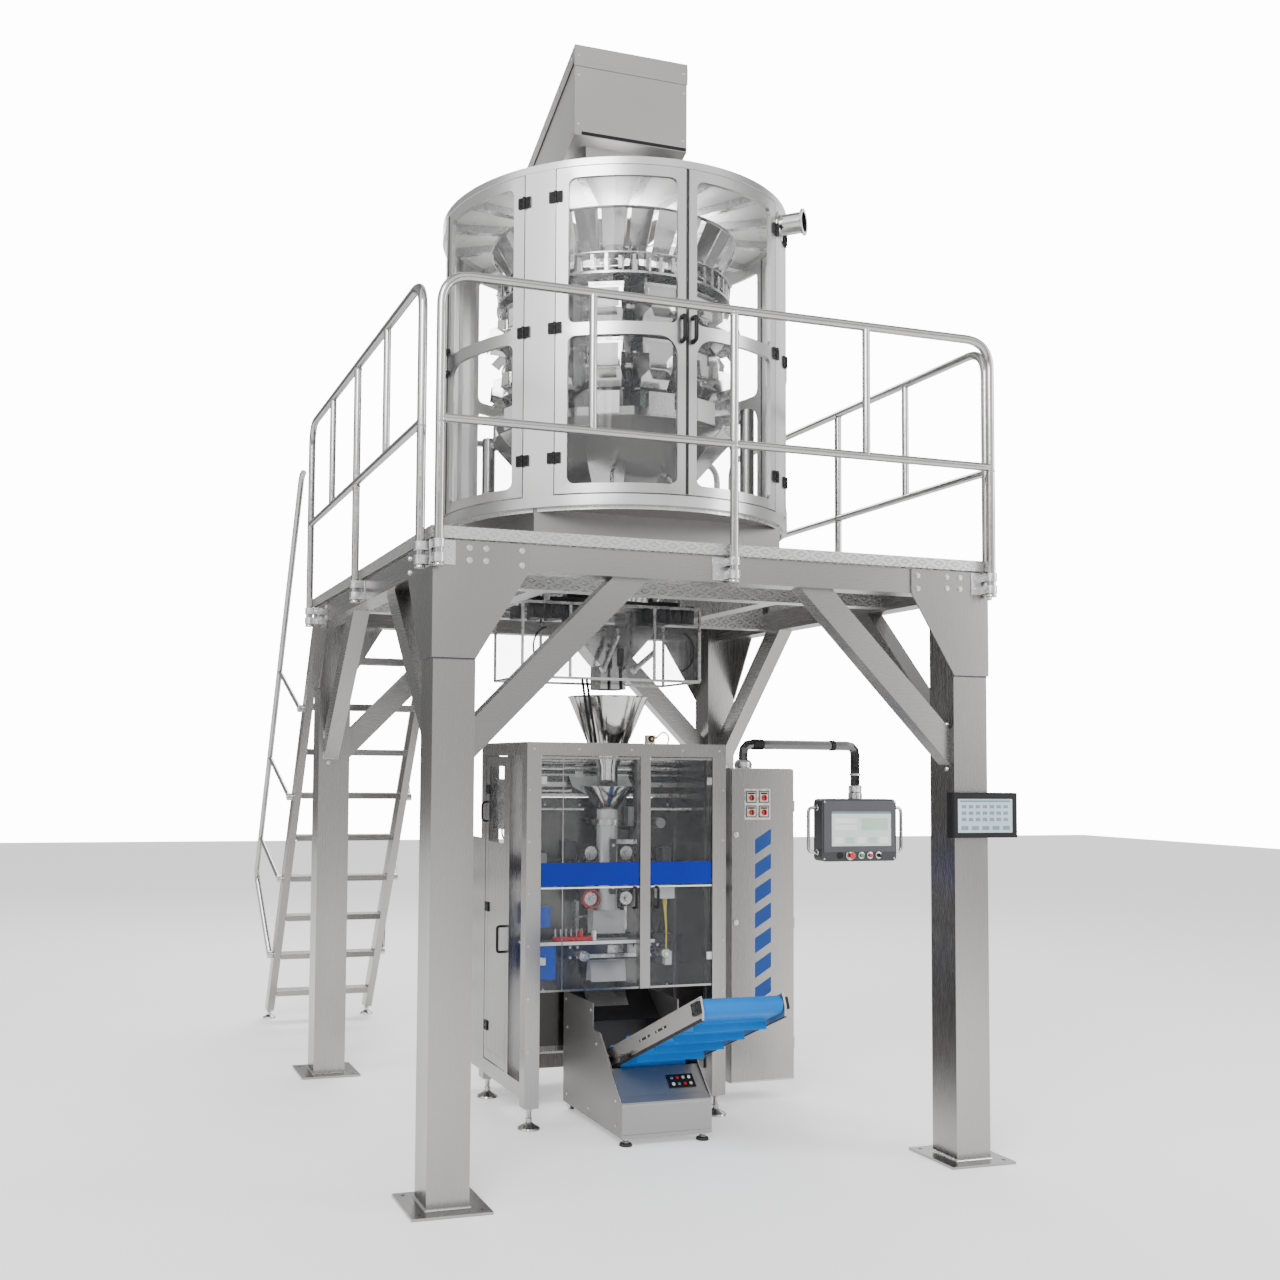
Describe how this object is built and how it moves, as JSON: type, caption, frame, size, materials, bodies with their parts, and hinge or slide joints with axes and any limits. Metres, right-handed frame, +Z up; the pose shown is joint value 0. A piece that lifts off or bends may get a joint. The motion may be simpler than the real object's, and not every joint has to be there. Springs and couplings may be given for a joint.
{
  "type": "vertical form fill sealer",
  "caption": "Vertical form fill sealer below a railed platform that carries a round windowed weigher cabinet, with infeed hood, ladder, swivel panel and inclined conveyor.",
  "frame": {"origin": "middle of the footprint on the floor", "axes": "+Z up, +X to the operator's right, +Y away from the operator towards the ladder"},
  "size_m": [3.3884, 4.7436, 5.78],
  "materials": {
    "frame_steel": "vertical brushed grain",
    "polished_steel": "bright drawn tube and polished sheet",
    "sheet_steel": "fine satin sheet",
    "chequer_plate": "raised tread pattern",
    "dark_metal": "satin",
    "cast_grey": "satin",
    "jaw_blue": "satin",
    "black_plastic": "matt",
    "black_rubber": "matt",
    "panel_grey": "satin",
    "white_plastic": "satin",
    "belt_blue": "smooth",
    "band_blue": "gloss",
    "film_white": "gloss",
    "red_plastic": "gloss",
    "green_plastic": "gloss",
    "yellow_plastic": "gloss",
    "brass": "satin",
    "screen_glass": "gloss",
    "clear_panel": "clear"
  },
  "bodies": {
    "structure": {"leg_front_left": "frame_steel", "leg_front_right": "frame_steel", "leg_back_right": "frame_steel", "leg_back_left": "frame_steel", "portal_front": "frame_steel", "portal_right": "frame_steel", "portal_back": "frame_steel", "portal_left": "frame_steel", "ladder": "frame_steel", "cabinet_frame": "frame_steel", "cabinet_roof": "frame_steel", "weigher_body": "frame_steel", "machine_frame": "frame_steel", "conveyor_base": "frame_steel", "deck_plate": "chequer_plate", "railing_front": "polished_steel", "railing_right": "polished_steel", "railing_back": "polished_steel", "railing_left": "polished_steel", "ladder_handrail_left": "polished_steel", "ladder_handrail_right": "polished_steel", "feed_pans": "polished_steel", "feed_buckets": "polished_steel", "weigh_buckets": "polished_steel", "collector_chutes": "polished_steel", "discharge_chute": "polished_steel", "forming_tube": "polished_steel", "weigher_plinth": "sheet_steel", "infeed_hood": "sheet_steel", "electrical_cabinet": "sheet_steel", "conveyor_bed": "sheet_steel", "weigher_hmi": "black_plastic", "conveyor_belt": "belt_blue"},
    "cabinet_leaf_front_a": {"cabinet_door_front_a": "clear_panel"},
    "cabinet_leaf_front_b": {"cabinet_door_front_b": "clear_panel"},
    "cabinet_leaf_right_a": {"cabinet_door_right_a": "clear_panel"},
    "cabinet_leaf_right_b": {"cabinet_door_right_b": "clear_panel"},
    "cabinet_leaf_back_a": {"cabinet_door_back_a": "clear_panel"},
    "cabinet_leaf_back_b": {"cabinet_door_back_b": "clear_panel"},
    "cabinet_leaf_left_a": {"cabinet_door_left_a": "clear_panel"},
    "cabinet_leaf_left_b": {"cabinet_door_left_b": "clear_panel"},
    "cone": {"dispersion_cone": "polished_steel"},
    "left_guard": {"guard_door_left": "clear_panel"},
    "right_guard": {"guard_door_right": "clear_panel"},
    "side_guard": {"side_door": "clear_panel"},
    "electrical_leaf": {"electrical_door": "sheet_steel"},
    "belt_unit_left": {"pull_belt_left": "dark_metal"},
    "belt_unit_right": {"pull_belt_right": "dark_metal"},
    "back_seal_bar": {"vertical_sealer": "dark_metal"},
    "front_jaw": {"jaw_front": "jaw_blue"},
    "back_jaw": {"jaw_back": "jaw_blue"},
    "roll": {"film_roll": "film_white"},
    "swivel_arm": {"hmi_arm": "frame_steel"},
    "operator_panel": {"hmi_panel": "panel_grey"},
    "estop_cap": {"estop_button": "red_plastic"},
    "start_cap": {"start_button": "green_plastic"},
    "stop_cap": {"stop_button": "red_plastic"},
    "selector": {"selector_knob": "black_plastic"},
    "head_roller": {"drive_roller": "dark_metal"},
    "foot_roller": {"tail_roller": "dark_metal"}
  },
  "joints": [
    {"name": "cabinet_front_a_hinge", "type": "hinge", "parent": "structure", "child": "cabinet_leaf_front_a", "pos_m": [-0.80189, -1.59692, 4.038], "axis": [0, 0, -1], "range_deg": [0, 90]},
    {"name": "cabinet_front_b_hinge", "type": "hinge", "parent": "structure", "child": "cabinet_leaf_front_b", "pos_m": [0.44635, -1.59692, 4.038], "axis": [0, 0, 1], "range_deg": [0, 90]},
    {"name": "cabinet_right_a_hinge", "type": "hinge", "parent": "structure", "child": "cabinet_leaf_right_a", "pos_m": [0.56999, -1.47328, 4.038], "axis": [0, 0, -1], "range_deg": [0, 90]},
    {"name": "cabinet_right_b_hinge", "type": "hinge", "parent": "structure", "child": "cabinet_leaf_right_b", "pos_m": [0.56999, -0.22504, 4.038], "axis": [0, 0, 1], "range_deg": [0, 90]},
    {"name": "cabinet_back_a_hinge", "type": "hinge", "parent": "structure", "child": "cabinet_leaf_back_a", "pos_m": [0.44635, -0.1014, 4.038], "axis": [0, 0, -1], "range_deg": [0, 90]},
    {"name": "cabinet_back_b_hinge", "type": "hinge", "parent": "structure", "child": "cabinet_leaf_back_b", "pos_m": [-0.80189, -0.1014, 4.038], "axis": [0, 0, 1], "range_deg": [0, 90]},
    {"name": "cabinet_left_a_hinge", "type": "hinge", "parent": "structure", "child": "cabinet_leaf_left_a", "pos_m": [-0.92554, -0.22504, 4.038], "axis": [0, 0, -1], "range_deg": [0, 90]},
    {"name": "cabinet_left_b_hinge", "type": "hinge", "parent": "structure", "child": "cabinet_leaf_left_b", "pos_m": [-0.92554, -1.47328, 4.038], "axis": [0, 0, 1], "range_deg": [0, 90]},
    {"name": "cone_spin", "type": "hinge", "parent": "structure", "child": "cone", "pos_m": [-0.17777, -0.84916, 4.6], "axis": [0, 0, 1], "continuous": true},
    {"name": "left_guard_hinge", "type": "hinge", "parent": "structure", "child": "left_guard", "pos_m": [-0.68677, -1.14916, 1.313], "axis": [0, 0, -1], "range_deg": [0, 110]},
    {"name": "right_guard_hinge", "type": "hinge", "parent": "structure", "child": "right_guard", "pos_m": [0.30123, -1.14916, 1.313], "axis": [0, 0, 1], "range_deg": [0, 110]},
    {"name": "side_door_hinge", "type": "hinge", "parent": "structure", "child": "side_guard", "pos_m": [-0.76777, -0.44116, 1.08], "axis": [0, 0, -1], "range_deg": [0, 100]},
    {"name": "electrical_door_hinge", "type": "hinge", "parent": "structure", "child": "electrical_leaf", "pos_m": [0.90673, -0.96866, 0.996], "axis": [0, 0, 1], "range_deg": [0, 95]},
    {"name": "pull_belt_left_slide", "type": "slide", "parent": "structure", "child": "belt_unit_left", "axis": [-1, 0, 0], "range_m": [0, 0.03]},
    {"name": "pull_belt_right_slide", "type": "slide", "parent": "structure", "child": "belt_unit_right", "axis": [1, 0, 0], "range_m": [0, 0.03]},
    {"name": "vertical_sealer_slide", "type": "slide", "parent": "structure", "child": "back_seal_bar", "axis": [0, -1, 0], "range_m": [0, 0.03]},
    {"name": "jaw_front_slide", "type": "slide", "parent": "structure", "child": "front_jaw", "axis": [0, 1, 0], "range_m": [0, 0.027]},
    {"name": "jaw_back_slide", "type": "slide", "parent": "structure", "child": "back_jaw", "axis": [0, -1, 0], "range_m": [0, 0.027]},
    {"name": "film_roll_spin", "type": "hinge", "parent": "structure", "child": "roll", "pos_m": [-0.19277, -0.20416, 1.08], "axis": [1, 0, 0], "continuous": true},
    {"name": "hmi_arm_swivel", "type": "hinge", "parent": "structure", "child": "swivel_arm", "pos_m": [0.63723, -0.86916, 1.89], "axis": [0, 0, 1], "range_deg": [-90, 90]},
    {"name": "hmi_panel_swivel", "type": "hinge", "parent": "swivel_arm", "child": "operator_panel", "pos_m": [1.37223, -0.86916, 1.72], "axis": [0, 0, 1], "range_deg": [-60, 60]},
    {"name": "estop_press", "type": "slide", "parent": "operator_panel", "child": "estop_cap", "axis": [0, 1, 0], "range_m": [0, 0.005], "stiffness_N_per_m": 400},
    {"name": "start_press", "type": "slide", "parent": "operator_panel", "child": "start_cap", "axis": [0, 1, 0], "range_m": [0, 0.005], "stiffness_N_per_m": 400},
    {"name": "stop_press", "type": "slide", "parent": "operator_panel", "child": "stop_cap", "axis": [0, 1, 0], "range_m": [0, 0.005], "stiffness_N_per_m": 400},
    {"name": "selector_turn", "type": "hinge", "parent": "operator_panel", "child": "selector", "pos_m": [1.50023, -0.91416, 1.372], "axis": [0, 1, 0], "range_deg": [-45, 45]},
    {"name": "drive_roller_spin", "type": "hinge", "parent": "structure", "child": "head_roller", "pos_m": [-0.15777, -2.32716, 0.808], "axis": [1, 0, 0], "continuous": true},
    {"name": "tail_roller_spin", "type": "hinge", "parent": "structure", "child": "foot_roller", "pos_m": [-0.15777, -1.17916, 0.33], "axis": [1, 0, 0], "continuous": true}
  ],
  "couplings": [
    {"joint": "jaw_back_slide", "follows": "jaw_front_slide", "ratio": 1},
    {"joint": "tail_roller_spin", "follows": "drive_roller_spin", "ratio": 1}
  ]
}
